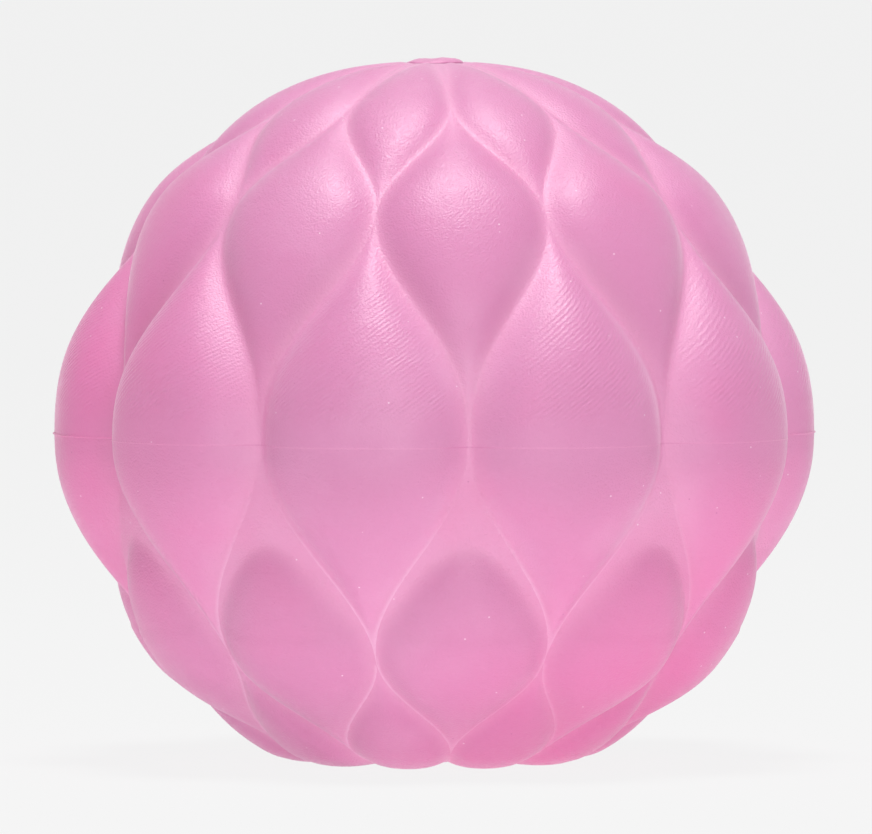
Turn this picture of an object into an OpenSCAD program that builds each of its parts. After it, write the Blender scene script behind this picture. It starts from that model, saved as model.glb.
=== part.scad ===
// Hand exercise ball: a soft silicone ball covered with rows of overlapping petals.
//
// The ball stands on its flat lower pole. Z is up, the middle seam is level, and the
// origin is under the centre of the flat face. Longitude 0 looks along -Y.
//
// The skin follows a smooth groove surface, an egg of one radius and two heights, and
// each petal swells out of it over a rounded flank. A petal is widest on its own row,
// where it touches its neighbours, and runs to a point on the rows above and below it.
// So two rows share every band between them, and the groove between their petals is a
// cosine wave. The first row below the middle starts late, with a round crown.

/* [Ball] */
// Widest diameter, across the petals of the middle row
ball_d = 60; // [50:0.5:80]
// Height of the skin from the seam to the upper pole
top_h = 29.2; // [22:0.1:40]
// Depth from the seam to the flat face that the ball stands on
base_h = 25.9; // [20:0.1:38]
// Depth that the lower skin would reach if it were not flattened
base_round_h = 27.5; // [21:0.1:40]

/* [Petals] */
// Petals in each row
petal_count = 10; // [8:1:14]
// Height of the middle row's petals above the grooves
mid_petal_h = 3.4; // [1.5:0.1:4.5]
// Height of the petals in the first and second rows above the middle
upper_petal_h = [1.75, 0.85]; // [0.4:0.05:3]
// Height of the petals in the first and second rows below the middle
lower_petal_h = [1.9, 1]; // [0.4:0.05:3]
// Angle above or below the seam of the first row
first_row_angle = 37.5; // [30:0.5:45]
// Angle above or below the seam of the second row
second_row_angle = 63; // [56:0.5:72]
// How far the flanks of the middle, first and second rows reach into their petals
flank_w = [4.6, 2.6, 1.9]; // [1:0.1:6]
// How round the foot of a flank is, as a part of the petal's height
foot_softness = 0.75; // [0.1:0.05:2]
// How full the upper tips of the middle row's petals are: 1 is a plain wave
tip_fullness = 1.25; // [1:0.05:1.6]
// Angle below the seam at which the first lower row's crown starts
crown_start = 18.5; // [2:0.5:24]
// Angle below the seam at which that crown is as wide as its petal
crown_full = 33; // [26:0.5:45]

/* [Skin] */
// Thinnest wall of the skin, at the grooves or at the flat face
wall_t = 4; // [2:0.1:7]
// Width of the level land around the filling plug
land_w = 0.9; // [0.6:0.1:3]

/* [Seam] */
// Thickness of the bond between the two halves of the skin
seam_t = 0.3; // [0.2:0.05:0.8]
// How far the bond stands out past the petals
seam_proud = 0.2; // [0.1:0.05:0.5]

/* [Core] */
// Clearance between the core and the skin
core_gap = 0.2; // [0.1:0.05:0.5]

/* [Plug] */
// Diameter of the filling plug's head
plug_head_d = 4.4; // [3.4:0.1:7]
// Thickness of the plug's head
plug_head_t = 1.2; // [0.8:0.1:3]
// How far the plug's head stands out of the upper pole
plug_proud = 0.5; // [0.1:0.05:0.7]
// Diameter of the plug's stem
plug_stem_d = 2.6; // [1.5:0.1:3.2]
// Clearance around the plug
plug_gap = 0.1; // [0.05:0.05:0.3]
// Bevel on the rim of the plug's head
plug_bevel = 0.2; // [0.05:0.05:0.4]

/* [Colours] */
// Colour of the skin
skin_colour = [0.90, 0.60, 0.77]; // [0:0.01:1]
// Colour of the bond at the seam
seam_colour = [0.93, 0.70, 0.83]; // [0:0.01:1]
// Colour of the core
core_colour = [0.87, 0.48, 0.69]; // [0:0.01:1]

/* [Hidden] */
$fn = 96;

petal_steps = 8;   // flats across one petal
band_steps = 8;    // flats between two rows
groove_r = ball_d / 2 - mid_petal_h;
pitch = 360 / petal_count;
seam_z = base_h;
cavity_r = min(groove_r, base_h, top_h) - wall_t;
core_r = cavity_r - core_gap;
land_r = plug_head_d / 2 + plug_gap + land_w;
ring_small = petal_count * petal_steps;
ring_full = 2 * ring_small;
pole_top_z = top_h - seam_t / 2;
land_z = pole_top_z * sqrt(1 - pow(land_r / groove_r, 2));
plug_top_z = land_z + seam_t / 2 + plug_proud;
plug_seat_z = plug_top_z - plug_head_t;
flat_z = base_h - seam_t / 2;
round_z = base_round_h - seam_t / 2;

// A half's outer petal heights, the fullness of its middle tips, and its crown's angles.
upper_rows = [upper_petal_h, tip_fullness, [0, 0.1]];
lower_rows = [lower_petal_h, 1, [crown_start, crown_full]];

// ---- the petal surface -------------------------------------------------------------

// Angle of row j, where the third row is the second one seen past the pole.
function row_t(j) = [0, first_row_angle, second_row_angle, 180 - second_row_angle][j];

// Height of row j's petals for a half with the rows h.
function row_h(j, h) = j == 0 ? mid_petal_h : h[0][min(j, 2) - 1];

// Share of the pitch that the lower row's petal holds at angle t of the band above row b.
function share(b, t, h) =
    let (part = max(0, (t - row_t(b)) / (row_t(b + 1) - row_t(b))))
    0.5 + 0.5 * cos(180 * (b == 0 ? pow(part, h[1]) : part));

// Place across a petal of column k, from -1 at one edge to 1 at the other, closer at the edges.
function across(k) = sin(180 * k / petal_steps - 90);

// Column k of one pitch belongs to the lower row's petal, then to the upper row's.
function lower_owns(k) = k < petal_steps;
function column(k) = lower_owns(k) ? k : k - petal_steps;
function part_share(b, t, k, h) = lower_owns(k) ? share(b, t, h) : 1 - share(b, t, h);

// Share of the pitch on which a petal is raised: the lower first row has a round crown.
function raised_share(b, t, k, h) =
    lower_owns(k) || b > 0 ? part_share(b, t, k, h) :
    min(part_share(b, t, k, h), sqrt(max(0, (t - h[2][0]) / (h[2][1] - h[2][0]))));

// How fast that share changes with the angle, as the slope of the petal's edge.
function edge_slope(b, t, k, h) =
    (raised_share(b, t + 0.05, k, h) - raised_share(b, t - 0.05, k, h)) / 0.1 * pitch / 2 * cos(t);

// Longitude of column k of pitch i at angle t of band b.
function longitude(b, t, i, k, h) =
    pitch * (i + 0.5 + b / 2 + (lower_owns(k) ? 0 : 0.5) + across(column(k)) * part_share(b, t, k, h) / 2);

// How far the skin stands out of the groove surface at a distance into a petal of row j.
function flank(j, reach, h) =
    let (climb = min(1, reach / flank_w[min(j, 2)]), part = 1 - pow(1 - climb, 2),
         foot = foot_softness * row_h(j, h), full = pow(row_h(j, h) + foot, 2) - pow(foot, 2))
    sqrt(part * part * full + foot * foot) - foot;

function relief(b, t, k, h) =
    let (raised = raised_share(b, t, k, h))
    raised < 0.001 ? 0 :
    let (place = across(column(k)) * part_share(b, t, k, h) / raised,
         half_w = raised * pitch / 360 * PI * groove_r * abs(cos(t)),
         reach = half_w * max(0, 1 - place * place) / 2 / norm([1, edge_slope(b, t, k, h)]))
    flank(lower_owns(k) ? b : b + 1, reach, h);

// Radius and height of the skin at angle t, for a half of height c.
function skin_rz(b, t, k, h, c) =
    let (n = [c * cos(t), groove_r * sin(t)], m = norm(n), r = relief(b, t, k, h))
    [groove_r * cos(t) + r * n[0] / m, c * sin(t) + r * n[1] / m];

function skin_point(b, t, i, k, h, c) =
    let (rz = skin_rz(b, t, k, h, c), a = longitude(b, t, i, k, h))
    [rz[0] * sin(a), -rz[0] * cos(a), rz[1]];

// Angle of band 2 where column k reaches the height z, by halving the interval.
function angle_at(k, h, c, z, lo, hi, turns) =
    turns == 0 ? (lo + hi) / 2 :
    let (mid = (lo + hi) / 2)
    skin_rz(2, mid, k, h, c)[1] < z ?
        angle_at(k, h, c, z, mid, hi, turns - 1) :
        angle_at(k, h, c, z, lo, mid, turns - 1);

// Angle of row r in band b at column k. Band 2 ends where the skin reaches end_z.
function step_t(b, r, k, h, c, ends) =
    let (t0 = row_t(b), t1 = b < 2 ? row_t(b + 1) : ends[k])
    t0 + (t1 - t0) * r / band_steps;

// One half's points: each row's own ring, then the rings of the band above it, then the
// middles of the two level faces.
function half_points(h, c, end_z) =
    let (ends = [for (k = [0 : 2 * petal_steps - 1]) angle_at(k, h, c, end_z, row_t(2), 90, 30)])
    concat(
        [for (b = [0 : 2]) each concat(
            [for (i = [0 : petal_count - 1])
                for (k = [0 : petal_steps - 1])
                    skin_point(b, row_t(b), i, k, h, c)],
            [for (r = [1 : b < 2 ? band_steps - 1 : band_steps])
                for (i = [0 : petal_count - 1])
                    for (k = [0 : 2 * petal_steps - 1])
                        let (p = skin_point(b, step_t(b, r, k, h, c, ends), i, k, h, c))
                        b == 2 && r == band_steps ? [p[0], p[1], end_z] : p])],
        [[0, 0, end_z], [0, 0, 0]]);

// Index of column k of pitch i on row r of band b. A petal's tip is one point.
function band_start(b) = b * (ring_small + (band_steps - 1) * ring_full);
function wrapped(n, size) = (n + 2 * size) % size;
function row_index(b, i, k) = band_start(b) + wrapped(i * petal_steps + k, ring_small);
function point_index(b, r, i, k) =
    r == 0 ? row_index(b, lower_owns(k) ? i : i + 1, lower_owns(k) ? k : 0) :
    r == band_steps && b < 2 ? row_index(b + 1, i, lower_owns(k) ? 0 : k - petal_steps) :
    band_start(b) + ring_small + (r - 1) * ring_full + wrapped(i * 2 * petal_steps + k, ring_full);

function next_index(b, r, i, k) =
    k < 2 * petal_steps - 1 ? point_index(b, r, i, k + 1) : point_index(b, r, (i + 1) % petal_count, 0);

function triangle(a, b, c) = a == b || b == c || c == a ? [] : [[a, b, c]];

// The skin's triangles, then the level faces at the pole and at the seam, each as a fan.
function half_faces() =
    let (last = band_start(2) + ring_small + (band_steps - 1) * ring_full)
    concat(
        [for (b = [0 : 2]) for (r = [0 : band_steps - 1])
            for (i = [0 : petal_count - 1]) for (k = [0 : 2 * petal_steps - 1])
                let (p = point_index(b, r, i, k), q = next_index(b, r, i, k),
                     s = next_index(b, r + 1, i, k), u = point_index(b, r + 1, i, k))
                each concat(triangle(p, u, q), triangle(q, u, s))],
        [for (n = [0 : ring_full - 1]) [last + (n + 1) % ring_full, last + n, last + ring_full]],
        [for (n = [0 : ring_small - 1]) [n, (n + 1) % ring_small, last + ring_full + 1]]);

module half_skin(h, c, end_z) {
    polyhedron(points = half_points(h, c, end_z), faces = half_faces(), convexity = 6);
}

// ---- the pieces --------------------------------------------------------------------

// Upper half of the skin, with the seat and the bore of the filling plug.
module upper_skin() {
    color(skin_colour)
    translate([0, 0, seam_z])
    difference() {
        translate([0, 0, seam_t / 2])
        half_skin(upper_rows, pole_top_z, land_z);
        sphere(r = cavity_r);
        plug_bore();
    }
}

// The stepped hole that the plug fills, from inside the cavity to above the land.
module plug_bore() {
    stem_r = plug_stem_d / 2 + plug_gap;
    head_r = plug_head_d / 2 + plug_gap;
    rotate_extrude()
    polygon([
        [0, cavity_r / 2],
        [stem_r, cavity_r / 2],
        [stem_r, plug_seat_z],
        [head_r, plug_seat_z],
        [head_r, top_h + 1],
        [0, top_h + 1]]);
}

// Lower half of the skin, flattened where the ball stands.
module lower_skin() {
    color(skin_colour)
    translate([0, 0, seam_z])
    difference() {
        translate([0, 0, -seam_t / 2])
        mirror([0, 0, 1])
        half_skin(lower_rows, round_z, flat_z);
        sphere(r = cavity_r);
    }
}

// The bond between the halves: it fills the joint and stands out as the thin parting line.
module seam_bond() {
    color(seam_colour)
    translate([0, 0, seam_z - seam_t / 2])
    linear_extrude(height = seam_t)
    difference() {
        polygon([for (i = [0 : petal_count - 1]) for (k = [0 : petal_steps - 1])
            let (p = skin_point(0, 0, i, k, upper_rows, top_h), r = norm([p[0], p[1]]))
            [p[0], p[1]] * (r + seam_proud) / r]);
        circle(r = cavity_r);
    }
}

// The soft core that fills the skin.
module core() {
    color(core_colour)
    translate([0, 0, seam_z])
    sphere(r = core_r);
}

// The plug that closes the filling hole at the upper pole, flush with the cavity below.
module filling_plug() {
    stem_low = sqrt(pow(cavity_r, 2) - pow(plug_stem_d / 2 + plug_gap, 2));
    color(skin_colour)
    translate([0, 0, seam_z])
    rotate_extrude()
    polygon([
        [0, stem_low],
        [plug_stem_d / 2, stem_low],
        [plug_stem_d / 2, plug_seat_z],
        [plug_head_d / 2, plug_seat_z],
        [plug_head_d / 2, plug_top_z - plug_bevel],
        [plug_head_d / 2 - plug_bevel * 2, plug_top_z],
        [0, plug_top_z]]);
}

upper_skin();
lower_skin();
seam_bond();
core();
filling_plug();
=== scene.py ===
# %% [markdown]
# # A hand exercise ball in soft silicone
#
# The real ball is squeezed to train the hand. Its skin is moulded in two halves that meet
# in a level parting line, and rows of lotus petals swell out of it. This file dresses the
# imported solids: it loads them, builds the fine shapes that a mould gives, makes the
# finishes and sets up a plain studio. All measures are in metres.

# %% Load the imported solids
import math

import bmesh
import bpy
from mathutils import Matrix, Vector, noise


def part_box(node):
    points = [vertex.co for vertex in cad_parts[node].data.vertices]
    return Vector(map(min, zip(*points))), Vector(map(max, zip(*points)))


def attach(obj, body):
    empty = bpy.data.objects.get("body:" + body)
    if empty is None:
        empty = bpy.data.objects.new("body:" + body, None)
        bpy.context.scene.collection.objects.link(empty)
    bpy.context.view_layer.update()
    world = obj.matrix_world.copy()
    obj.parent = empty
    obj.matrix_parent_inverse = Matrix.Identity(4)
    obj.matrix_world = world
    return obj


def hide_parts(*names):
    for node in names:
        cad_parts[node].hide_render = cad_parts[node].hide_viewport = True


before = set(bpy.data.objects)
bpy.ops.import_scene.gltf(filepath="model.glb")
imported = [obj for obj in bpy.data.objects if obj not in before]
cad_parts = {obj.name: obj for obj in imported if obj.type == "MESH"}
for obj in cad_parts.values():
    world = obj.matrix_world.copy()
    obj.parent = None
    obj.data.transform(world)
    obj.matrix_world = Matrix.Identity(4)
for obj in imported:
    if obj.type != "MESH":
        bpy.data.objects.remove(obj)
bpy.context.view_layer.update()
print("solids:", ", ".join(sorted(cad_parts)))

# %% [markdown]
# ## Measures
#
# Everything hangs on a few sizes. Those that the solids already hold are read from their
# boxes, so that the fine shapes stay where the solids are. A box is the easiest thing to
# read from a solid: it gives the radius of the ball, the seam's height and the plug's ends.

# %% Sizes read from the solids
MM = 0.001
CORE_GAP = 0.2 * MM
ball_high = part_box("upper_skin")[1]
plug_low, plug_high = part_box("filling_plug")
core_low, core_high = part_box("core")
bond_low, bond_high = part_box("seam_bond")

BALL_R = ball_high[0]
SEAM_Z = (bond_low[2] + bond_high[2]) / 2
CAVITY_R = (core_high[0] - core_low[0]) / 2 + CORE_GAP
PLUG_HEAD_R = plug_high[0]
PLUG_TOP_Z = plug_high[2]
PLUG_LOW_Z = plug_low[2]
print(f"ball {2 * BALL_R / MM:.1f} mm wide, seam at {SEAM_Z / MM:.2f} mm")
print(f"plug from {PLUG_LOW_Z / MM:.2f} to {PLUG_TOP_Z / MM:.2f} mm")

# %% [markdown]
# ## The petals' sizes
#
# Ten petals stand around the ball in each of five rows. The middle row swells the most and
# crosses the seam, and the rows above and below it grow flatter towards the poles. Each size
# has a name, because the petals can then be tuned by changing a single line: the height of a
# petal, the width of the flank that climbs to it, how soft its foot is, and how full its tip.
# In the lower half, the first row's petals start a little away from the seam, at their crown.

# %% Sizes of the petals
PETALS = 10
PITCH = 2 * math.pi / PETALS
MID_PETAL_H = 3.4 * MM
UPPER_PETAL_H = (1.75 * MM, 0.85 * MM)
LOWER_PETAL_H = (1.9 * MM, 1.0 * MM)
ROW_ANGLE = (math.radians(37.5), math.radians(63.0))
FLANK_W = (4.6 * MM, 3.8 * MM, 2.6 * MM)
TIP_FLANK = 0.8
FOOT_SOFTNESS = 0.75
TIP_FULLNESS = 1.25
CROWN_START = math.radians(16.0)
CROWN_FULL = math.radians(33.0)
CROWN_POWER = 0.6
TOP_H = 29.2 * MM
BASE_ROUND_H = 27.7 * MM
BOND_T = 0.12 * MM
GROOVE_R = BALL_R - MID_PETAL_H
print(f"groove radius {GROOVE_R / MM:.1f} mm, petals {2 * math.pi * BALL_R / PETALS / MM:.1f} mm wide")

# %% [markdown]
# ## The petal surface
#
# The skin starts from a smooth egg, the surface that the grooves lie on. A petal is widest
# on its own row and narrows to a point on the next rows, in the shape of a cosine wave, so
# that two rows share each band without a gap. From its edge a petal swells up over a flank
# of a few millimetres, and is level further in. A sharp groove would tear, so the foot of
# the flank runs out in a wide fillet.

# %% The rows and the share of each petal
def row_angle(row):
    """Angle of a row above the seam. Row 3 is row 2 of the far side, seen past the pole."""
    return (0.0, ROW_ANGLE[0], ROW_ANGLE[1], math.pi - ROW_ANGLE[1])[row]


def lower_share(half, band, angle):
    """Part of the pitch that the lower row's petal holds in the band above row `band`."""
    start, stop = row_angle(band), row_angle(band + 1)
    part = max((angle - start) / (stop - start), 0.0)
    return 0.5 + 0.5 * math.cos(math.pi * (part ** half.fullness if band == 0 else part))


def petal_share(half, row, band, angle):
    """Part of the pitch that a petal of this row holds in a band."""
    share = lower_share(half, band, angle)
    return share if band == row else 1 - share


print("rows at", ", ".join(f"{math.degrees(row_angle(row)):.1f}" for row in range(4)), "degrees")

# %% [markdown]
# ## How high a petal swells
#
# The nearest edge of the petal decides how high a point lies. Its distance from that edge is compared with
# the flank's width, and a parabola turns it into a height: steep at the edge and level at the top. A
# hyperbola then rounds the sharp foot, as a cutter with a round nose would leave it in the mould. The
# slope is kept too, because the finish paints steep flanks paler as painted light.

# %% The height of a petal above the grooves
LEAST_SHARE = 0.001
SLOPE_STEP = 0.001


def rounded(part, peak):
    """Height of a petal whose sharp foot is rounded. Part 1 is its peak."""
    fillet = FOOT_SOFTNESS * peak
    full = math.sqrt((peak + fillet) ** 2 - fillet ** 2)
    return math.sqrt((part * full) ** 2 + fillet ** 2) - fillet


def rounded_slope(part, peak):
    """How fast `rounded` grows with the part."""
    fillet = FOOT_SOFTNESS * peak
    full = math.sqrt((peak + fillet) ** 2 - fillet ** 2)
    return part * full ** 2 / math.hypot(part * full, fillet)


def raised_share(half, row, band, angle):
    """Part of the pitch that a petal is raised on: a first row's petal starts late at the seam."""
    share = petal_share(half, row, band, angle)
    if row != 1 or band != 0 or half.sign > 0:
        return share
    climb = (angle - CROWN_START) / (CROWN_FULL - CROWN_START)
    return min(share, max(climb, 0.0) ** CROWN_POWER)


def swelling(half, row, band, across, angle):
    """Height of a petal as a part of its greatest height, 0 at its edge, and its flank's lean."""
    raised = raised_share(half, row, band, angle)
    if raised < LEAST_SHARE:
        return 0.0, 0.0
    place = across * petal_share(half, row, band, angle) / raised
    after = raised_share(half, row, band, angle + SLOPE_STEP)
    before = raised_share(half, row, band, angle - SLOPE_STEP)
    slope = (after - before) / (2 * SLOPE_STEP) * PITCH / 2 * math.cos(angle)
    half_width = raised * PITCH / 2 * GROOVE_R * abs(math.cos(angle))
    reach = half_width * max(1 - place ** 2, 0.0) / 2 / math.hypot(1, slope)
    flank = FLANK_W[min(row, 2)] * (TIP_FLANK + (1 - TIP_FLANK) * raised)
    climb = min(reach / flank, 1.0)
    part = 1 - (1 - climb) ** 2
    steep = 2 * (1 - climb) * abs(place) / flank * rounded_slope(part, half.peaks[row])
    return part, 1 - 1 / math.hypot(1, steep)


print("a petal of the middle row is", f"{rounded(1.0, MID_PETAL_H) / MM:.2f} mm high")

# %% [markdown]
# ## One half of the skin
#
# Each petal is a grid from `bmesh.ops.create_grid`, whose points are then moved onto the
# petal surface. A `spin` copies it around the pole, and merging the doubles joins the rows
# into one skin. This keeps every groove on an edge of the mesh, where a plain sphere would
# cut across the grooves and tear their line.
#
# The two halves differ only in their sizes, so one small class holds them, and every function
# that follows takes a half and works for both.

# %% A half as a set of sizes
class Half:
    """The sizes of one half of the skin: which way it points, how high it is and its rows."""

    def __init__(self, name, sign, pole_h, petal_h, end_angle, fullness):
        self.name = name
        self.sign = sign
        self.pole_h = pole_h
        self.peaks = (MID_PETAL_H, petal_h[0], petal_h[1], petal_h[1])
        self.end_angle = end_angle
        self.fullness = fullness


UPPER_END = math.radians(83.2)
LOWER_END = math.radians(86.0)
upper_half = Half("upper", 1, TOP_H - BOND_T / 2, UPPER_PETAL_H, UPPER_END, TIP_FULLNESS)
lower_half = Half("lower", -1, BASE_ROUND_H - BOND_T / 2, LOWER_PETAL_H, LOWER_END, 1.0)
for half in (upper_half, lower_half):
    print(f"{half.name} half: petals of {', '.join(f'{peak / MM:.2f}' for peak in half.peaks[:3])} mm")

# %% [markdown]
# ## A point of the skin
#
# A point is found in two moves: up along the egg to its row, and then straight out from the
# egg by the height of its petal. In the lower half a third move follows. The lowest petals
# carry the ball, and their soft tips are pressed flat where it stands, so no point may lie
# below the flat. A plain limit would leave a sharp edge, and `soft_least` rounds it.

# %% A point of the skin
LOBE_SINK = 0.7 * MM
LOBE_ROUND = 1.1 * MM
LOBE_PRESS = 0.17 * MM
FLAT_Z = SEAM_Z - BOND_T / 2


def soft_least(value, limit, width):
    """The lesser of value and limit, with a round change between them."""
    share = min(max(0.5 + 0.5 * (limit - value) / width, 0.0), 1.0)
    return limit + (value - limit) * share - width * share * (1 - share)


def skin_point(half, row, band, across, angle, centre):
    """Point of the skin, with how far it has risen and how much its flank leans."""
    share = petal_share(half, row, band, angle)
    part, lean = swelling(half, row, band, across, angle)
    swell = rounded(part, half.peaks[row])
    out = Vector((half.pole_h * math.cos(angle), GROOVE_R * math.sin(angle))).normalized()
    radius = GROOVE_R * math.cos(angle) + swell * out.x
    height = half.pole_h * math.sin(angle) + swell * out.y
    if half.sign < 0:
        lowest = FLAT_Z + LOBE_PRESS - LOBE_SINK * (1 - part)
        height = min(soft_least(height, lowest, LOBE_ROUND), FLAT_Z)
    turn = centre + across * share * PITCH / 2
    z = half.sign * (height + BOND_T / 2)
    return Vector((radius * math.sin(turn), -radius * math.cos(turn), SEAM_Z + z)), part, lean


print(f"the flat feet lie {FLAT_Z / MM:.2f} mm below the lower rim")

# %% [markdown]
# ## One petal's grid
#
# A petal's grid is widest in the middle and runs to a point. Its columns are closer together at the two
# edges, where the surface bends most. Each point also keeps five marks that the finishes read later: how
# far it has risen, how much the flank leans, how far it is from the seam, how clearly the cutter's passes
# show there and whether its edge gets a thin painted highlight line.

# %% One petal's grid
COLUMNS = 28
BAND_STEPS = 36
TIP_STEP = 0.05
END_STEP = 0.01
MARKS = ("rise", "lean", "from_seam", "tooled", "lined")
TOOLED = (1.0, 0.15, 0.0, 0.0)


def band_angles(half, band):
    """Angles of the grid lines of a band: a longer step at each end, where a tip is thin."""
    low, high = row_angle(band), row_angle(band + 1)
    inner = [TIP_STEP + (1 - 2 * TIP_STEP) * step / BAND_STEPS for step in range(BAND_STEPS + 1)]
    angles = [low + (high - low) * part for part in [0.0] + inner + [1.0]]
    if band == 2:
        angles = [angle for angle in angles if angle < half.end_angle - END_STEP]
        angles.append(half.end_angle)
    return angles


def add_petal(bm, half, row, band, marks):
    """The part of a row's petal that lies in one band, with its marks."""
    angles = band_angles(half, band)
    lines = len(angles) - 1
    made = bmesh.ops.create_grid(bm, x_segments=COLUMNS, y_segments=lines, size=1)["verts"]
    centre = PITCH * (0.5 + row / 2)
    for vert in made:
        across = math.sin(vert.co.x * math.pi / 2)
        angle = angles[round((vert.co.y + 1) / 2 * lines)]
        vert.co, part, lean = skin_point(half, row, band, across, angle, centre)
        vert[marks["rise"]] = part
        # Above the middle row the flanks are too low to get painted light.
        vert[marks["lean"]] = lean if row == 0 or half.sign < 0 else 0.0
        vert[marks["from_seam"]] = math.sin(angle)
        # Where the painted highlight line goes: the edges of the lower petals in their own band.
        vert[marks["lined"]] = math.sin(angle) if half.sign < 0 and row == band else 0.0
        vert[marks["tooled"]] = part * TOOLED[row] if half.sign > 0 else 0.0
    return made


def ring_of(verts):
    """Vertices with their edges and faces, as `spin` wants them."""
    edges = {edge for vert in verts for edge in vert.link_edges}
    faces = {face for vert in verts for face in vert.link_faces}
    return list(verts) + list(edges) + list(faces)


print(f"a petal's grid: {COLUMNS} columns and {BAND_STEPS + 2} steps in a band")

# %% [markdown]
# ## The outer skin of a half
#
# In each band between two rows, the petals of both rows taper past each other. One petal of
# each is made and spun around the pole until there are ten. Neighbours share their edge
# lines exactly, so merging the doubles is enough to make one skin. What stays open are two
# rims: one at the seam and one at the pole.

# %% The outer skin of a half
MERGE_REACH = 1e-7


def outer_skin(half):
    """The outer skin of a half, still open at the seam and at the pole."""
    bm = bmesh.new()
    marks = {name: bm.verts.layers.float.new(name) for name in MARKS}
    for band in range(3):
        for row in (band, band + 1):
            made = add_petal(bm, half, row, band, marks)
            bmesh.ops.spin(bm, geom=ring_of(made), cent=(0, 0, 0), axis=(0, 0, 1),
                           angle=PITCH * (PETALS - 1), steps=PETALS - 1, use_duplicate=True)
    bmesh.ops.remove_doubles(bm, verts=bm.verts, dist=MERGE_REACH)
    return bm


def mean_height(rim):
    """The height at which a rim lies."""
    return sum(edge.verts[0].co.z for edge in rim) / len(rim)


def rims(bm):
    """The mesh's open rims, each a list of edges, from the lowest to the highest."""
    edges = {edge for edge in bm.edges if edge.is_boundary}
    found = []
    while edges:
        rim, front = [], [edges.pop()]
        while front:
            edge = front.pop()
            rim.append(edge)
            near = {e for vert in edge.verts for e in vert.link_edges if e in edges}
            edges -= near
            front += near
        found.append(rim)
    return sorted(found, key=mean_height)


skins = {half.name: outer_skin(half) for half in (upper_half, lower_half)}
for name, bm in skins.items():
    print(f"{name} skin: {len(bm.faces)} faces, rims of {[len(rim) for rim in rims(bm)]} edges")

# %% [markdown]
# ## The inside of a half
#
# Each half is a thick shell around a round cavity. The rim at the seam is extruded inwards
# to the cavity, and the new rim again and again along the cavity's arc. What stays open at
# the pole is closed by the plug's stepped bore above, and by a level face below.

# %% Extruding a rim
def extrude_rim(bm, rim, move, crisp=False):
    """Extrudes a rim of edges and moves each new point with `move`. Returns the new rim."""
    made = bmesh.ops.extrude_edge_only(bm, edges=rim)["geom"]
    for edge in rim:
        edge.smooth = not crisp
    new_verts = {item for item in made if isinstance(item, bmesh.types.BMVert)}
    for vert in new_verts:
        vert.co = move(vert.co)
    return [item for item in made if isinstance(item, bmesh.types.BMEdge)
            and set(item.verts) <= new_verts]


def at_radius(radius, z):
    """A move that sends a point to a radius and a height, and keeps its direction."""
    def move(co):
        flat = Vector((co.x, co.y, 0)).normalized() * radius
        return Vector((flat.x, flat.y, z))
    return move


def merge_rim(bm, rim, place):
    """Closes a small rim by merging its points into one."""
    bmesh.ops.pointmerge(bm, verts=list({vert for edge in rim for vert in edge.verts}), merge_co=place)


# %% Lining the cavity
CAVITY_STEPS = 14


def line_cavity(bm, half, rim, last_radius):
    """Takes the seam's rim in to the cavity and up along it to a last radius."""
    seam = SEAM_Z + half.sign * BOND_T / 2
    last = math.acos(last_radius / CAVITY_R)
    first = math.asin((BOND_T / 2) / CAVITY_R)
    for step in range(CAVITY_STEPS + 1):
        angle = first + (last - first) * step / CAVITY_STEPS
        height = seam if step == 0 else SEAM_Z + half.sign * CAVITY_R * math.sin(angle)
        rim = extrude_rim(bm, rim, at_radius(CAVITY_R * math.cos(angle), height), crisp=step < 2)
    return rim


print("the cavity is", f"{2 * CAVITY_R / MM:.1f} mm wide and lined in {CAVITY_STEPS} steps")

# %% [markdown]
# ## Closing the lower half
#
# The underside is solid, so its small rim is drawn in over two rings and merged into one
# point in the middle of the flat. The cavity's last rim is merged the same way at the
# deepest point of the cavity. A fan of long thin triangles would pinch the shading there,
# and the rings keep it short.

# %% Closing the lower half
UNDERSIDE_RINGS = (1.0 * MM, 0.3 * MM)
CAVITY_TIP_R = 0.4 * MM


def close_lower(bm):
    """Closes the underside of the lower half and the bottom of its cavity."""
    pole, seam = rims(bm)
    flat = mean_height(pole)
    for radius in UNDERSIDE_RINGS:
        pole = extrude_rim(bm, pole, at_radius(radius, flat))
    merge_rim(bm, pole, (0, 0, flat))
    inner = line_cavity(bm, lower_half, seam, CAVITY_TIP_R)
    merge_rim(bm, inner, (0, 0, SEAM_Z - CAVITY_R))


close_lower(skins["lower"])
print("open rims left in the lower half:", len(rims(skins["lower"])))

# %% [markdown]
# ## Closing the upper half around the plug's bore
#
# The upper half has a stepped hole at its pole: wide for the plug's head, narrow for its
# stem. Its profile is a short list of rings, and the pole's rim is extruded from ring to
# ring. The mouth of the hole curls in softly, as silicone does around a stopper, and the
# steps below it are crisp. The last ring is bridged to the last rim of the cavity.

# %% Closing the upper half around the plug's bore
PLUG_GAP = 0.06 * MM
PLUG_SEAT_Z = PLUG_TOP_Z - 1.2 * MM
STEM_R = 1.3 * MM
BORE_R = PLUG_HEAD_R + PLUG_GAP
STEM_BORE_R = STEM_R + PLUG_GAP


def bore_profile(land):
    """Rings of the bore from its mouth at the land: a radius, a height and if its start is crisp."""
    return (
        (BORE_R + 0.25 * MM, land, False),
        (BORE_R + 0.05 * MM, land - 0.04 * MM, False),
        (BORE_R, land - 0.20 * MM, True),
        (BORE_R, PLUG_SEAT_Z, True),
        (STEM_BORE_R, PLUG_SEAT_Z, True))


def close_upper(bm):
    """Sinks the plug's bore into the upper half and joins it with the cavity."""
    seam, pole = rims(bm)
    for radius, z, crisp in bore_profile(mean_height(pole)):
        pole = extrude_rim(bm, pole, at_radius(radius, z), crisp)
    inner = line_cavity(bm, upper_half, seam, STEM_BORE_R)
    bmesh.ops.bridge_loops(bm, edges=pole + inner)


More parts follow.
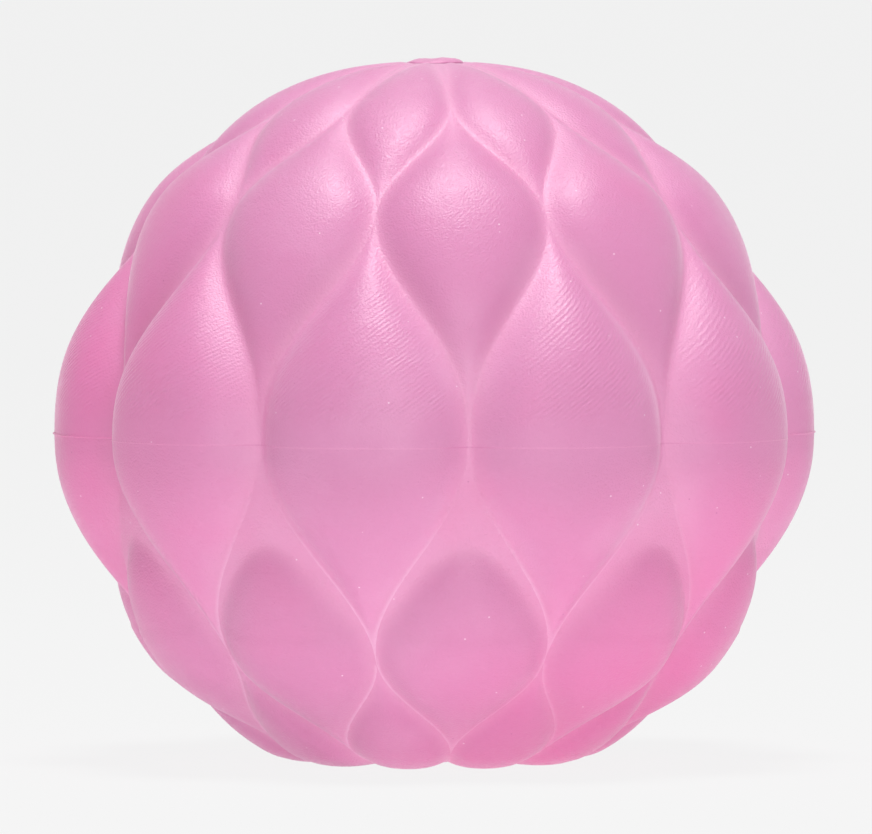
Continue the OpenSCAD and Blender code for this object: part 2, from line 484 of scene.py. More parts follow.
close_upper(skins["upper"])
print("open rims left in the upper half:", len(rims(skins["upper"])))

# %% [markdown]
# ## Making the two halves objects
#
# A bmesh is a workbench and can't be rendered, so each finished one is written to a mesh and given an
# object. Its normals are turned outwards and its faces shaded smoothly first. Each object rides on the
# ball, and the solid that it takes the place of is hidden. The count of open edges has to be 0, and the
# volume has to be positive, or the shell is inside out.

# %% Making the two halves objects
def finish_mesh(bm, name):
    """Turns a bmesh into a shaded piece that rides on the ball."""
    bmesh.ops.recalc_face_normals(bm, faces=bm.faces)
    for face in bm.faces:
        face.smooth = True
    mesh = bpy.data.meshes.new(name)
    bm.to_mesh(mesh)
    open_edges = sum(1 for edge in bm.edges if not edge.is_manifold)
    volume = bm.calc_volume(signed=True)
    bm.free()
    piece = bpy.data.objects.new(name, mesh)
    bpy.context.scene.collection.objects.link(piece)
    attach(piece, "root")
    triangles = sum(len(poly.vertices) - 2 for poly in mesh.polygons)
    print(f"{name}: {triangles} triangles, {open_edges} open edges, {volume / MM ** 3:.0f} mm3")
    return piece


upper_petals = finish_mesh(skins["upper"], "upper_petal_skin")
lower_petals = finish_mesh(skins["lower"], "lower_petal_skin")
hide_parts("upper_skin")
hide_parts("lower_skin")

# %% [markdown]
# ## The bead at the parting line
#
# Where the two halves meet, a little silicone creeps out and sets as a thin bead. It is
# trimmed by hand, so it stands out by a hair at the front and by a little more on the two
# sides. The bead is a ring whose outline is that of the skin: its rim is extruded in steps
# around a half circle, and a random wave makes it ragged.

# %% The bead
BEAD_LEAST = 0.005 * MM
BEAD_MOST = 0.18 * MM
BEAD_RAG = 0.01 * MM
BEAD_WAVES = 9
SIDE_POWER = 12
BEAD_STEPS = 6


def seam_radius(turn):
    """Radius of the skin's outline at the seam, at an angle around the pole."""
    across = 2 * ((turn / PITCH) % 1) - 1
    return GROOVE_R + rounded(swelling(upper_half, 0, 0, across, 0.0)[0], MID_PETAL_H)


def bead_proud(turn):
    """How far the bead stands out: longest on the two sides."""
    sides = abs(math.sin(turn)) ** SIDE_POWER
    ragged = 0.5 + 0.5 * noise.noise(Vector((math.sin(turn), math.cos(turn), 0.3)) * BEAD_WAVES)
    return BEAD_LEAST + (BEAD_MOST - BEAD_LEAST) * sides * ragged + BEAD_RAG * ragged


def bead_move(step):
    """The move of the bead's rim for a step of its half circle."""
    lift = math.cos(math.pi * step / BEAD_STEPS) * BOND_T / 2
    swell = math.sin(math.pi * step / BEAD_STEPS)

    def move(co):
        turn = math.atan2(co.x, -co.y)
        radius = seam_radius(turn) + bead_proud(turn) * swell
        return Vector((radius * math.sin(turn), -radius * math.cos(turn), SEAM_Z + lift))
    return move


for side, turn in (("the front", 0.0), ("a side", math.pi / 2)):
    print(f"the bead stands out by {bead_proud(turn) / MM:.3f} mm at {side}")


# %% The ring of the bead
def seam_bead():
    """The bond and its bead: a flat ring from the cavity to a round edge that stands proud."""
    bm = bmesh.new()
    bmesh.ops.create_circle(bm, segments=PETALS * COLUMNS, radius=CAVITY_R)
    for vert in bm.verts:
        steps = math.atan2(vert.co.x, -vert.co.y) / PITCH * COLUMNS
        petal, column = divmod(round(steps), COLUMNS)
        across = math.sin((2 * column / COLUMNS - 1) * math.pi / 2)
        turn = PITCH * (petal + 0.5 + across / 2)
        vert.co = Vector((CAVITY_R * math.sin(turn), -CAVITY_R * math.cos(turn), SEAM_Z + BOND_T / 2))
    first = list(bm.edges)
    rim = first
    for step in range(BEAD_STEPS + 1):
        rim = extrude_rim(bm, rim, bead_move(step), crisp=step == 0)
    rim = extrude_rim(bm, rim, at_radius(CAVITY_R, SEAM_Z - BOND_T / 2), crisp=True)
    for edge in first + rim:
        edge.smooth = False
    bmesh.ops.bridge_loops(bm, edges=first + rim)
    return bm


bead = finish_mesh(seam_bead(), "parting_bead")
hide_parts("seam_bond")

# %% [markdown]
# ## The filling plug
#
# The core is poured through a hole at the upper pole, which a soft plug then closes. The
# plug has a thin stem and a low head. Its head is poured and trimmed by hand, so it is an
# uneven mound that runs out flat on one side and ends in a short step on the other. The
# profile below is extruded point by point from the foot of the stem to the top.

# %% The plug's profile
PLUG_SIDES = 96
HEAD_H = 0.46 * MM
PLUG_PROFILE = (
    (STEM_R, PLUG_LOW_Z, True), (STEM_R, PLUG_SEAT_Z, True), (PLUG_HEAD_R, PLUG_SEAT_Z, True),
    (PLUG_HEAD_R + 0.04 * MM, PLUG_TOP_Z - HEAD_H, False),
    (PLUG_HEAD_R + 0.02 * MM, PLUG_TOP_Z - 0.38 * MM, False),
    (PLUG_HEAD_R - 0.10 * MM, PLUG_TOP_Z - 0.29 * MM, False),
    (PLUG_HEAD_R - 0.30 * MM, PLUG_TOP_Z - 0.20 * MM, False),
    (PLUG_HEAD_R - 0.60 * MM, PLUG_TOP_Z - 0.12 * MM, False),
    (PLUG_HEAD_R - 1.00 * MM, PLUG_TOP_Z - 0.05 * MM, False),
    (0.60 * MM, PLUG_TOP_Z - 0.02 * MM, False), (0.30 * MM, PLUG_TOP_Z, False))
print("the plug's profile has", len(PLUG_PROFILE), "points on a head", f"{HEAD_H / MM:.2f} mm high")

# %% [markdown]
# ## The uneven head of the plug
#
# Two waves of noise move the head's points out and up, and one side is trimmed lower. Each
# wave has its number of waves in a millimetre, its own place in the noise and its strength.
# The moves grow from nothing at the rim of the head, so the stem and the seat stay exact.

# %% The uneven head of the plug
RAG_WAVES = ((0.5, 5.1, 1.0), (1.6, 1.7, 0.45))
RAG_OUT = 0.12 * MM
RAG_OUT_START = 4
RAG_UP = 0.16 * MM
TRIMMED = 0.09 * MM
HEAD_LIMIT = 0.05 * MM
TIP_DIP = 0.1 * MM


def plug_rag(co, radius):
    """How uneven the trimmed head is at a point, about -1 to 1."""
    out = Vector((co.x, co.y, 0)).normalized() * radius / MM
    return sum(most * noise.noise(out * waves + Vector((0, 0, place))) for waves, place, most in RAG_WAVES)


def plug_move(radius, z):
    """The move of the plug's rim to one point of its profile. One side is trimmed lower."""
    head = max(0.0, (z - PLUG_TOP_Z + HEAD_H) / HEAD_H)

    def move(co):
        rag = plug_rag(co, radius)
        wide = radius + RAG_OUT * rag * min(head * RAG_OUT_START, 1)
        flat = Vector((co.x, co.y, 0)).normalized() * wide
        trimmed = TRIMMED * (1 - flat.x / PLUG_HEAD_R)
        high = z + head * (RAG_UP * rag - trimmed)
        return Vector((flat.x, flat.y, min(high, PLUG_TOP_Z + HEAD_LIMIT)))
    return move


def plug_mesh():
    """The plug, extruded ring by ring from the foot of its stem to its top."""
    bm = bmesh.new()
    radius, z, crisp = PLUG_PROFILE[0]
    bmesh.ops.create_circle(bm, segments=PLUG_SIDES, radius=radius, cap_ends=True)
    bmesh.ops.translate(bm, verts=bm.verts, vec=(0, 0, z))
    rim = [edge for edge in bm.edges if edge.is_boundary]
    for radius, z, next_crisp in PLUG_PROFILE[1:]:
        rim = extrude_rim(bm, rim, plug_move(radius, z), crisp=crisp)
        crisp = next_crisp
    merge_rim(bm, rim, (0, 0, PLUG_TOP_Z - TIP_DIP))
    return bm


plug = finish_mesh(plug_mesh(), "cut_filling_plug")
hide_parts("filling_plug")

# %% [markdown]
# ## Small helpers for the finishes
#
# A finish is a small tree of shader nodes. Effects that several finishes share are node groups, made once:
# the satin grain, the tool marks, the specks, and the drift of colour with its painted shade.

# %% Helpers for values and colours
def maths(tree, operation, first, second=None, third=None):
    """A Math node fed with links or numbers. Returns its output."""
    node = tree.nodes.new("ShaderNodeMath")
    node.operation = operation
    for socket, value in zip(node.inputs, (first, second, third)):
        if isinstance(value, bpy.types.NodeSocket):
            tree.links.new(value, socket)
        elif value is not None:
            socket.default_value = value
    return node.outputs[0]


def ramp(tree, value, low, high, least=0.0, most=1.0):
    """Takes a value from low to high smoothly to least and most. Returns the output."""
    node = tree.nodes.new("ShaderNodeMapRange")
    node.interpolation_type = "SMOOTHSTEP"
    for name, number in (("From Min", low), ("From Max", high), ("To Min", least), ("To Max", most)):
        node.inputs[name].default_value = number
    tree.links.new(value, node.inputs["Value"])
    return node.outputs["Result"]


def blend(tree, factor, first, second):
    """Mixes two colours, each a link or a colour. Returns the output."""
    node = tree.nodes.new("ShaderNodeMix")
    node.data_type = "RGBA"
    tree.links.new(factor, node.inputs["Factor"])
    for socket, value in ((node.inputs["A"], first), (node.inputs["B"], second)):
        if isinstance(value, bpy.types.NodeSocket):
            tree.links.new(value, socket)
        else:
            socket.default_value = (*value, 1)
    return node.outputs["Result"]


# %% [markdown]
# ## Helpers for textures, marks and groups
#
# A texture reads the object's own coordinates, so its scale is counted in waves per metre
# and a pattern stays with the piece when the ball is moved. A mark is one of the five values
# that were stored in the mesh. A group starts empty, with its sockets already named.

# %% Helpers for textures, marks and groups
def texture(tree, kind, scale, **sockets):
    """A texture in the object's own coordinates, with other sockets filled by their names."""
    place = tree.nodes.new("ShaderNodeTexCoord")
    node = tree.nodes.new(kind)
    node.inputs["Scale"].default_value = scale
    for name, value in sockets.items():
        node.inputs[name].default_value = value
    tree.links.new(place.outputs["Object"], node.inputs["Vector"])
    return node


def mark(tree, name):
    """A value that the mesh carries at each point."""
    node = tree.nodes.new("ShaderNodeAttribute")
    node.attribute_name = name
    return node.outputs["Fac"]


def new_group(name, inputs, outputs):
    """An empty node group with named sockets. Returns the tree, its input and its output."""
    tree = bpy.data.node_groups.new(name, "ShaderNodeTree")
    for socket, kind in inputs:
        tree.interface.new_socket(name=socket, in_out="INPUT", socket_type=kind)
    for socket, kind in outputs:
        tree.interface.new_socket(name=socket, in_out="OUTPUT", socket_type=kind)
    return tree, tree.nodes.new("NodeGroupInput"), tree.nodes.new("NodeGroupOutput")


def use_group(tree, group):
    """Places a node group in a tree."""
    node = tree.nodes.new("ShaderNodeGroup")
    node.node_tree = group
    return node


# %% [markdown]
# ## Satin grain
#
# The mould was blasted with fine grit, and its grain is on every face of the silicone. Close
# up it breaks the gloss into tiny points. Two sizes of noise make the height, and the same
# noise makes the gloss uneven.

# %% The grain group
GRAIN_FINE = 6500
GRAIN_COARSE = 2600
COARSE_SHARE = 0.45
GLOSS_SPREAD = 0.22


def grain_group():
    """The height of the grain, and a roughness that varies with it."""
    outputs = (("Height", "NodeSocketFloat"), ("Roughness", "NodeSocketFloat"))
    tree, given, result = new_group("satin grain", (("Base Roughness", "NodeSocketFloat"),), outputs)
    fine = texture(tree, "ShaderNodeTexNoise", GRAIN_FINE, Detail=1.0)
    coarse = texture(tree, "ShaderNodeTexNoise", GRAIN_COARSE, Detail=2.0)
    soft = maths(tree, "MULTIPLY", coarse.outputs["Fac"], COARSE_SHARE)
    height = maths(tree, "ADD", fine.outputs["Fac"], soft)
    uneven = maths(tree, "SUBTRACT", coarse.outputs["Fac"], 0.5)
    roughness = maths(tree, "MULTIPLY_ADD", uneven, GLOSS_SPREAD, given.outputs["Base Roughness"])
    tree.links.new(height, result.inputs["Height"])
    tree.links.new(roughness, result.inputs["Roughness"])
    return tree


grain = grain_group()
print(f"grain: {1 / GRAIN_FINE / MM:.2f} mm and {1 / GRAIN_COARSE / MM:.2f} mm across")

# %% [markdown]
# ## Tool marks
#
# The mould's petals were cut with a ball-nosed tool that ran in slanted passes about a third
# of a millimetre apart. The passes show as faint ridges on the upper side of the middle
# petals and fade towards the seam, where the mould was polished. The pattern counts the
# passes in height and in the distance around the ball, so it follows the round surface.

# %% The tool-mark group
PASS_GAP = 0.34 * MM
PASS_SLANT = math.radians(35)
WANDER = 0.9
WANDER_SCALE = 420
PATCH_SCALE = 650
PATCH_EDGES = (0.33, 0.58)
PATCH_LEAST = 0.3
POLISHED_TO = 0.6 * MM
MARKED_FROM = 3.5 * MM


def tool_mark_group():
    """The height of the tool marks. Its amount says how clearly they show at a place."""
    inputs = (("Amount", "NodeSocketFloat"),)
    outputs = (("Height", "NodeSocketFloat"),)
    tree, given, result = new_group("tool marks", inputs, outputs)
    place = tree.nodes.new("ShaderNodeTexCoord")
    parts = tree.nodes.new("ShaderNodeSeparateXYZ")
    tree.links.new(place.outputs["Object"], parts.inputs[0])
    front = maths(tree, "MULTIPLY", parts.outputs["Y"], -1.0)
    turn = maths(tree, "ARCTAN2", parts.outputs["X"], front)
    wander = texture(tree, "ShaderNodeTexNoise", WANDER_SCALE, Detail=2.0)
    around = maths(tree, "MULTIPLY", turn, BALL_R * math.sin(PASS_SLANT) / PASS_GAP)
    up = maths(tree, "MULTIPLY", parts.outputs["Z"], math.cos(PASS_SLANT) / PASS_GAP)
    count = maths(tree, "SUBTRACT", up, around)
    count = maths(tree, "MULTIPLY_ADD", wander.outputs["Fac"], WANDER, count)
    wave = maths(tree, "SINE", maths(tree, "MULTIPLY", count, 2 * math.pi))
    patch = texture(tree, "ShaderNodeTexNoise", PATCH_SCALE, Detail=2.0)
    kept = ramp(tree, patch.outputs["Fac"], *PATCH_EDGES)
    kept = maths(tree, "MULTIPLY_ADD", kept, 1 - PATCH_LEAST, PATCH_LEAST)
    above = ramp(tree, parts.outputs["Z"], SEAM_Z + POLISHED_TO, SEAM_Z + MARKED_FROM)
    amount = maths(tree, "MULTIPLY", given.outputs["Amount"], above)
    amount = maths(tree, "MULTIPLY", amount, kept)
    tree.links.new(maths(tree, "MULTIPLY", wave, amount), result.inputs["Height"])
    return tree


tool_marks = tool_mark_group()
print(f"tool marks: {PASS_GAP / MM:.2f} mm apart, slanted by {math.degrees(PASS_SLANT):.0f} degrees")

# %% [markdown]
# ## Specks of dust
#
# Soft silicone draws dust: a few white lint specks and dark grains sit on it. A Voronoi
# texture cuts space into cells with a dot in the middle of each, and the random colour of a
# cell decides if its dot is kept. Modelled grains would be thousands of tiny meshes, and a
# colour on the surface does as well at this size.

# %% The speck group
DARK_GRAINS = {"scale": 900, "size": 0.08, "few": 0.08}
DARK_TINT = (0.45, 0.08, 0.25)
DARK_PAINT = 0.5
LINT = {"scale": 1100, "size": 0.10, "few": 0.11}
LINT_TINT = (0.92, 0.75, 0.85)
LINT_PAINT = 0.6
DOT_CORE = 0.5
COLOUR_SOCKET = (("Color", "NodeSocketColor"),)


def speck_layer(tree, scale, size, few):
    """A value of 1 on small dots: cells of a Voronoi texture, of which only a few are kept."""
    cells = texture(tree, "ShaderNodeTexVoronoi", scale)
    dot = ramp(tree, cells.outputs["Distance"], size * DOT_CORE, size, 1.0, 0.0)
    pick = tree.nodes.new("ShaderNodeSeparateColor")
    tree.links.new(cells.outputs["Color"], pick.inputs[0])
    kept = maths(tree, "GREATER_THAN", pick.outputs["Red"], 1 - few)
    return maths(tree, "MULTIPLY", dot, kept)


def speck_group():
    """Puts dark grains and pale lint on a colour."""
    tree, given, result = new_group("specks", COLOUR_SOCKET, COLOUR_SOCKET)
    dark = maths(tree, "MULTIPLY", speck_layer(tree, **DARK_GRAINS), DARK_PAINT)
    pale = maths(tree, "MULTIPLY", speck_layer(tree, **LINT), LINT_PAINT)
    colour = blend(tree, dark, given.outputs["Color"], DARK_TINT)
    colour = blend(tree, pale, colour, LINT_TINT)
    tree.links.new(colour, result.inputs["Color"])
    return tree


specks = speck_group()
print(f"specks: {DARK_GRAINS['few']:.0%} of the cells hold a grain, {LINT['few']:.0%} some lint")

# %% [markdown]
# ## Drift of colour and painted shade
#
# The pigment isn't stirred in evenly, so the pink drifts a little over a centimetre or so, which a soft
# noise gives. Two sides, the lower right and the left, are also painted a deeper pink as painted shade.
# How far a point lies towards a side is a dot product of its place and the side's direction, so this
# painted shade is fixed in the ball and turns with it.

# %% The group for the drift and the painted shade
# Painted shade: the lower right and the left side are painted a deeper pink.
LOWER_RIGHT_PAINTED_SHADE = {"side": (0.62, -0.35, -0.70), "start": -4, "full": 21, "most": 1.0}
LEFT_SIDE_PAINTED_SHADE = {"side": (-0.99, 0.10, 0.0), "start": 15, "full": 30, "most": 0.6}
CLOUD_SCALE = 75
CLOUD_REACH = 0.25
DEEP = (0.74, 0.15, 0.39)
DEEP_PAINT = 0.22
LIGHT = (0.86, 0.50, 0.70)
LIGHT_PAINT = 0.16


def painted_shade_toward(tree, place, side, start, full, most):
    """The amount of painted shade: it grows from 0 at `start` to `most` at `full`, in millimetres toward
    one side.
    """
    along = tree.nodes.new("ShaderNodeVectorMath")
    along.operation = "DOT_PRODUCT"
    along.inputs[1].default_value = side
    tree.links.new(place, along.inputs[0])
    return ramp(tree, along.outputs["Value"], start * MM, full * MM, 0.0, most)


def drift_and_shade_group():
    """Paints shade on a colour towards two sides, and lets the colour drift in soft clouds."""
    tree, given, result = new_group("drift of colour and painted shade", COLOUR_SOCKET, COLOUR_SOCKET)
    place = tree.nodes.new("ShaderNodeTexCoord").outputs["Object"]
    cloud = texture(tree, "ShaderNodeTexNoise", CLOUD_SCALE, Detail=3.0, Roughness=0.55)
    deeper = ramp(tree, cloud.outputs["Fac"], 0.5, 0.5 + CLOUD_REACH, 0.0, DEEP_PAINT)
    paler = ramp(tree, cloud.outputs["Fac"], 0.5, 0.5 - CLOUD_REACH, 0.0, LIGHT_PAINT)
    # Painted shade: the lower right and the left side turn a deeper pink.
    colour = blend(tree, painted_shade_toward(tree, place, **LOWER_RIGHT_PAINTED_SHADE), given.outputs["Color"], DEEP)
    colour = blend(tree, painted_shade_toward(tree, place, **LEFT_SIDE_PAINTED_SHADE), colour, DEEP)
    colour = blend(tree, deeper, colour, DEEP)
    colour = blend(tree, paler, colour, LIGHT)
    tree.links.new(colour, result.inputs["Color"])
    return tree


drift_and_shade = drift_and_shade_group()
print("node groups:", ", ".join(group.name for group in (grain, tool_marks, specks, drift_and_shade)))

# %% [markdown]
# ## The silicones
#
# The skin, the bond, the plug and the core are four silicones of one family: soft, satin and
# faintly pearly at a grazing angle. One function sets what they share, straight on the
# sockets of the shader. Light enters the skin, wanders under the surface for a millimetre
# or two and leaves it softly, so a groove never turns black.

# %% The silicone shader
SSS_SCALE = 2.0 * MM
SSS_RADIUS = (1.0, 0.8, 0.9)
SPECULAR = 1.0
IOR = 1.43
SHEEN = 0.3
SHEEN_ROUGH = 0.25


def silicone(name, colour, roughness, wandering):
    """A material with a satin silicone shader. Returns the material, its tree and shader."""
    material = bpy.data.materials.new(name)
    material.use_nodes = True
    tree = material.node_tree
    shader = tree.nodes["Principled BSDF"]
    shader.inputs["Base Color"].default_value = (*colour, 1)
    shader.inputs["Roughness"].default_value = roughness
    shader.inputs["IOR"].default_value = IOR
    shader.inputs["Specular IOR Level"].default_value = SPECULAR
    shader.inputs["Sheen Weight"].default_value = SHEEN
    shader.inputs["Sheen Roughness"].default_value = SHEEN_ROUGH
    shader.inputs["Subsurface Weight"].default_value = wandering
    shader.inputs["Subsurface Radius"].default_value = SSS_RADIUS
    shader.inputs["Subsurface Scale"].default_value = SSS_SCALE
    return material, tree, shader


print(f"light wanders up to {SSS_SCALE / MM:.1f} mm under the skin")

# %% [markdown]
# ## What lies on every silicone
#
# The groups are placed one after the other: the drift and the painted shade change the colour, the specks
# lie on top of it, and the grain makes the roughness uneven and gives the first bump. Where tool marks are
# wanted, a second bump takes the normal of the first and adds them.

# %% The finish on a surface
GRAIN_DEPTH = 0.05 * MM
MARK_DEPTH = 0.016 * MM


def finish_surface(tree, shader, colour, roughness, marks=None):
    """Adds the drift with its painted shade, the specks, the grain and, where they are wanted, the tool
    marks.
    """
    drifted_and_shaded = use_group(tree, drift_and_shade)
    if isinstance(colour, bpy.types.NodeSocket):
        tree.links.new(colour, drifted_and_shaded.inputs["Color"])
    else:
        drifted_and_shaded.inputs["Color"].default_value = (*colour, 1)
    dusty = use_group(tree, specks)
    tree.links.new(drifted_and_shaded.outputs["Color"], dusty.inputs["Color"])
    tree.links.new(dusty.outputs["Color"], shader.inputs["Base Color"])
    satin = use_group(tree, grain)
    satin.inputs["Base Roughness"].default_value = roughness
    tree.links.new(satin.outputs["Roughness"], shader.inputs["Roughness"])
    bump = tree.nodes.new("ShaderNodeBump")
    bump.inputs["Distance"].default_value = GRAIN_DEPTH
    tree.links.new(satin.outputs["Height"], bump.inputs["Height"])
    if marks is not None:
        cut = use_group(tree, tool_marks)
        tree.links.new(marks, cut.inputs["Amount"])
        second = tree.nodes.new("ShaderNodeBump")
        second.inputs["Distance"].default_value = MARK_DEPTH
        tree.links.new(cut.outputs["Height"], second.inputs["Height"])
        tree.links.new(bump.outputs["Normal"], second.inputs["Normal"])
        bump = second
    tree.links.new(bump.outputs["Normal"], shader.inputs["Normal"])


print(f"bump: grain {GRAIN_DEPTH / MM:.3f} mm deep, tool marks {MARK_DEPTH / MM:.3f} mm")

# %% [markdown]
# ## The skin's silicone
#
# The grooves, the flanks and the edges of the lower petals carry painted light. The grooves are painted
# paler against the shade that falls in them. The steep flanks are painted paler to lift their shade and to
# stand in for a bright grazing reflection. The lower petals have a fine painted highlight line along their
# edges. All of this is measured in the mesh: `rise` is 0 in a groove and 1 on a petal, and `lean` grows
# with the slope of a flank. The halves are bonded, but light that wanders across the joint would be lost
# between two meshes, so the wandering fades out just at the seam.

# %% The skin's silicone
SKIN = (0.65, 0.23, 0.44)
# Painted light in the grooves, against the shade that falls there.
GROOVE_PAINTED_LIGHT = (0.74, 0.30, 0.515)
# Painted light: the paler pink for the steep flanks and for the painted highlight lines.
PAINTED_LIGHT_PINK = (0.92, 0.60, 0.80)
RISE_TOP = 0.6
FLANK_PAINTED_LIGHT = 1.2
LEAN_POWER = 2.0
LINE_RISE = 0.16
EDGE_HIGHLIGHT_PAINT = 0.35
LINE_START = 0.05
LINE_FULL = 0.5
SKIN_ROUGH = 0.47
SSS_WEIGHT = 0.4
SSS_FADE = 0.12


def skin_material():
    """The skin, with painted light in the grooves and on the flanks, and a painted highlight line along
    the edges of the lower petals.
    """
    material, tree, shader = silicone("skin silicone", SKIN, SKIN_ROUGH, SSS_WEIGHT)
    # Painted light: the grooves are painted paler against the shade that falls in them.
    groove = ramp(tree, mark(tree, "rise"), 0.0, RISE_TOP, 1.0, 0.0)
    colour = blend(tree, groove, SKIN, GROOVE_PAINTED_LIGHT)
    # Painted light on steep flanks: it lifts their shade and stands in for a bright grazing reflection.
    steep = maths(tree, "POWER", mark(tree, "lean"), LEAN_POWER)
    flank = maths(tree, "MULTIPLY", steep, FLANK_PAINTED_LIGHT)
    colour = blend(tree, flank, colour, PAINTED_LIGHT_PINK)
    # A painted highlight line along the edges of the lower petals.
    edge = ramp(tree, mark(tree, "rise"), 0.0, LINE_RISE, EDGE_HIGHLIGHT_PAINT, 0.0)
    lined = ramp(tree, mark(tree, "lined"), LINE_START, LINE_FULL)
    colour = blend(tree, maths(tree, "MULTIPLY", edge, lined), colour, PAINTED_LIGHT_PINK)
    finish_surface(tree, shader, colour, SKIN_ROUGH, mark(tree, "tooled"))
    inside = ramp(tree, mark(tree, "from_seam"), 0.0, SSS_FADE, 0.0, SSS_WEIGHT)
    tree.links.new(inside, shader.inputs["Subsurface Weight"])
    return material


skin = skin_material()
upper_petals.data.materials.append(skin)
lower_petals.data.materials.append(skin)
print(f"{skin.name}: {len(skin.node_tree.nodes)} nodes on both halves")

# %% [markdown]
# ## The bond, the plug and the core
#
# The bond and the plug are cast from a second batch, which is a touch paler. The bond sets against no
# mould and is a little glossier than the skin, and the trimmed plug is a little duller. The core is a soft
# gel, deeper and wetter. These pieces are too small or too hidden for light under the surface, so they go
# without it and keep the drift with its painted shade, the dust and the grain.

# %% The bond, the plug and the core
CAST = (0.68, 0.25, 0.46)
BOND_ROUGH = 0.42
PLUG_ROUGH = 0.48
GEL = (0.70, 0.17, 0.42)
GEL_ROUGH = 0.25


def plain_silicone(name, colour, roughness):
    """A silicone of one colour, without wandering light."""
    material, tree, shader = silicone(name, colour, roughness, 0.0)
    finish_surface(tree, shader, colour, roughness)
    return material


bead.data.materials.append(plain_silicone("bond silicone", CAST, BOND_ROUGH))
plug.data.materials.append(plain_silicone("plug silicone", CAST, PLUG_ROUGH))
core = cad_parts["core"]
core.data.materials.clear()
core.data.materials.append(plain_silicone("core gel", GEL, GEL_ROUGH))
for piece in (bead, plug, core):
    print(f"{piece.name}: {piece.data.materials[0].name}")

# %% [markdown]
# ## The table and the room
#
# The ball stands on a pale light table in a white room. Both have to look nearly white and
# yet light the ball only gently. Stronger lamps would bleach it, so the Light Path node
# chooses instead: rays that look at the surroundings, straight or in a gloss, find them
# white, and all other rays get a dimmer glow. The table keeps a little plain diffuse, which
# is what shows the faint shadow under the ball.

# %% Helpers for the surroundings
def any_seen(tree):
    """A value of 1 for the rays in which the surroundings are seen, straight or in a gloss."""
    path = tree.nodes.new("ShaderNodeLightPath")
    seen = maths(tree, "MAXIMUM", path.outputs["Is Camera Ray"], path.outputs["Is Glossy Ray"])
    return maths(tree, "MAXIMUM", seen, path.outputs["Is Transmission Ray"])


def add_shaders(tree, kinds):
    """Adds two shaders, each with a kind and a grey. Returns the sum."""
    total = tree.nodes.new("ShaderNodeAddShader")
    for (kind, grey), socket in zip(kinds, total.inputs):
        shader = tree.nodes.new(kind)
        shader.inputs["Color"].default_value = (grey, grey, grey, 1)
        tree.links.new(shader.outputs[0], socket)
    return total.outputs[0]


# %% The light table
TABLE_REACH = 30.0
TABLE_GREY = 0.8
TABLE_GLOW = 0.62
SEEN_GREY = 0.045
SEEN_GLOW = 0.865


def light_table():
    """The floor: a wide level sheet that glows and keeps a shadow."""
    bm = bmesh.new()
    bmesh.ops.create_grid(bm, x_segments=1, y_segments=1, size=TABLE_REACH)
    mesh = bpy.data.meshes.new("floor")
    bm.to_mesh(mesh)
    bm.free()
    floor = bpy.data.objects.new("floor", mesh)
    bpy.context.scene.collection.objects.link(floor)
    material = bpy.data.materials.new("pale light table")
    material.use_nodes = True
    tree = material.node_tree
    tree.nodes.clear()
    out = tree.nodes.new("ShaderNodeOutputMaterial")
    choose = tree.nodes.new("ShaderNodeMixShader")
    lit = add_shaders(tree, (("ShaderNodeBsdfDiffuse", TABLE_GREY), ("ShaderNodeEmission", TABLE_GLOW)))
    seen = add_shaders(tree, (("ShaderNodeBsdfDiffuse", SEEN_GREY), ("ShaderNodeEmission", SEEN_GLOW)))
    tree.links.new(any_seen(tree), choose.inputs[0])
    tree.links.new(lit, choose.inputs[1])
    tree.links.new(seen, choose.inputs[2])
    tree.links.new(choose.outputs[0], out.inputs["Surface"])
    floor.data.materials.append(material)


light_table()
print(f"light table: {2 * TABLE_REACH:.0f} m wide")

# %% The white room
ROOM_GREY = 0.896
ROOM_LIGHT = 0.25


def white_room():
    """The world: nearly white where it is seen, and a dim even light elsewhere."""
    world = bpy.data.worlds.new("white room")
    bpy.context.scene.world = world
    world.use_nodes = True
    tree = world.node_tree
    background = tree.nodes["Background"]
    background.inputs["Color"].default_value = (ROOM_GREY, ROOM_GREY, ROOM_GREY, 1)
    strength = ramp(tree, any_seen(tree), 0.0, 1.0, ROOM_LIGHT / ROOM_GREY, 1.0)
    tree.links.new(strength, background.inputs["Strength"])


white_room()
print(f"room: {ROOM_GREY} where it is seen, {ROOM_LIGHT} as light")

# %% [markdown]
# ## Softboxes
#
# A small round softbox hangs almost straight above the ball and puts soft highlights on the
# upper shoulders of the petals. A wide softbox low at the front fills the rest, so that the
# lower petals don't sink into shade. A wider softbox gives a softer light, and one that
# stands further off needs more power.

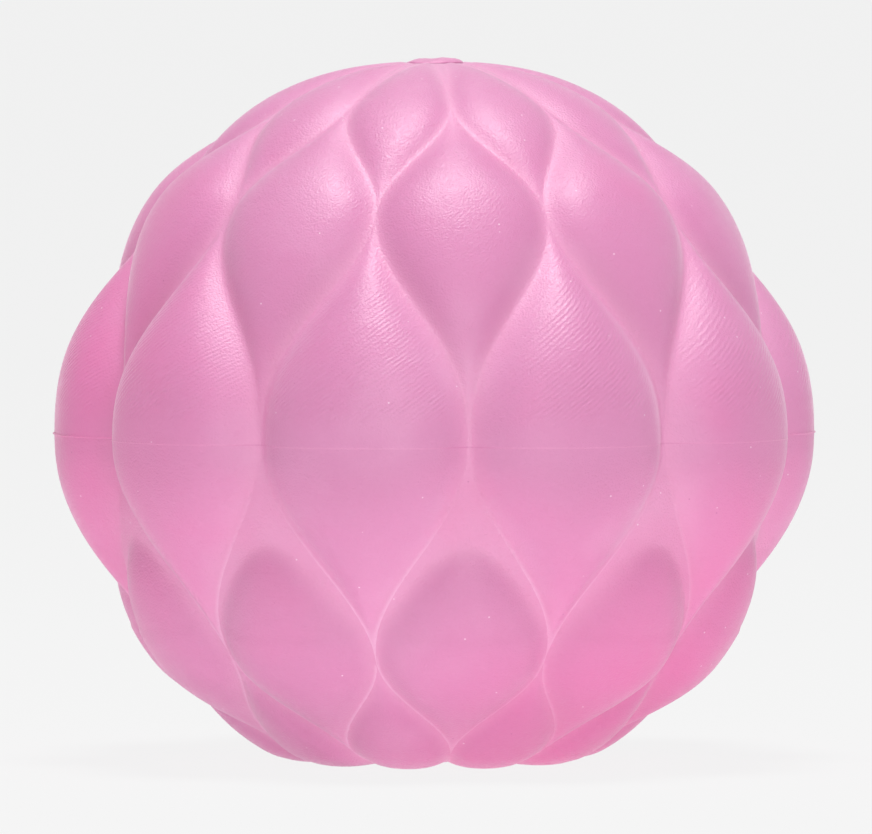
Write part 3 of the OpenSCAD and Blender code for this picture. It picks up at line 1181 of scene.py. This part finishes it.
# %% Softboxes
OVERHEAD = {"turn": -2, "lift": 84, "reach": 0.6, "size": 0.2, "power": 3.0}
FRONT = {"turn": 4, "lift": 8, "reach": 0.9, "size": 0.6, "power": 2.2}


def toward(turn, lift):
    """The direction from the ball at a turn to the right of its front and a lift, in radians."""
    level = math.cos(lift)
    return Vector((math.sin(turn) * level, -math.cos(turn) * level, math.sin(lift)))


def softbox(name, turn, lift, reach, size, power):
    """A round softbox aimed at the ball, its turn and lift in degrees."""
    light = bpy.data.lights.new(name, "AREA")
    light.shape = "DISK"
    light.size = size
    light.energy = power
    box = bpy.data.objects.new(name, light)
    out = toward(math.radians(turn), math.radians(lift))
    box.location = Vector((0, 0, SEAM_Z)) + out * reach
    box.rotation_euler = (-out).to_track_quat("-Z", "Y").to_euler()
    bpy.context.scene.collection.objects.link(box)
    print(f"{name}: {power} W, {size} m wide, {reach} m from the ball")


softbox("overhead softbox", **OVERHEAD)
softbox("front softbox", **FRONT)

# %% [markdown]
# ## The camera
#
# A long lens stands far off, a few degrees to the left and barely above the seam, so that
# the ball shows almost without perspective. Its aim lies a little above the seam, which puts
# the ball in the middle of the frame.

# %% The camera
CAMERA_TURN = math.radians(-5.67)
CAMERA_TILT = math.radians(2.42)
CAMERA_REACH = 40 * GROOVE_R
CAMERA_AIM = Vector((0.1 * MM, 0, SEAM_Z + 1.2 * MM))
SENSOR_WIDTH = 36
FOCAL_LENGTH = 558
SIGHT_LIMIT = 10

camera = bpy.data.cameras.new("camera")
camera.sensor_width = SENSOR_WIDTH
camera.lens = FOCAL_LENGTH
camera.clip_end = SIGHT_LIMIT
view = bpy.data.objects.new("camera", camera)
direction = toward(CAMERA_TURN, CAMERA_TILT)
view.location = CAMERA_AIM + direction * CAMERA_REACH
view.rotation_euler = (-direction).to_track_quat("-Z", "Y").to_euler()
bpy.context.scene.collection.objects.link(view)
bpy.context.scene.camera = view
bpy.context.scene.view_settings.view_transform = "Standard"
print(f"camera: {CAMERA_REACH:.2f} m off, with a lens of {FOCAL_LENGTH} mm")
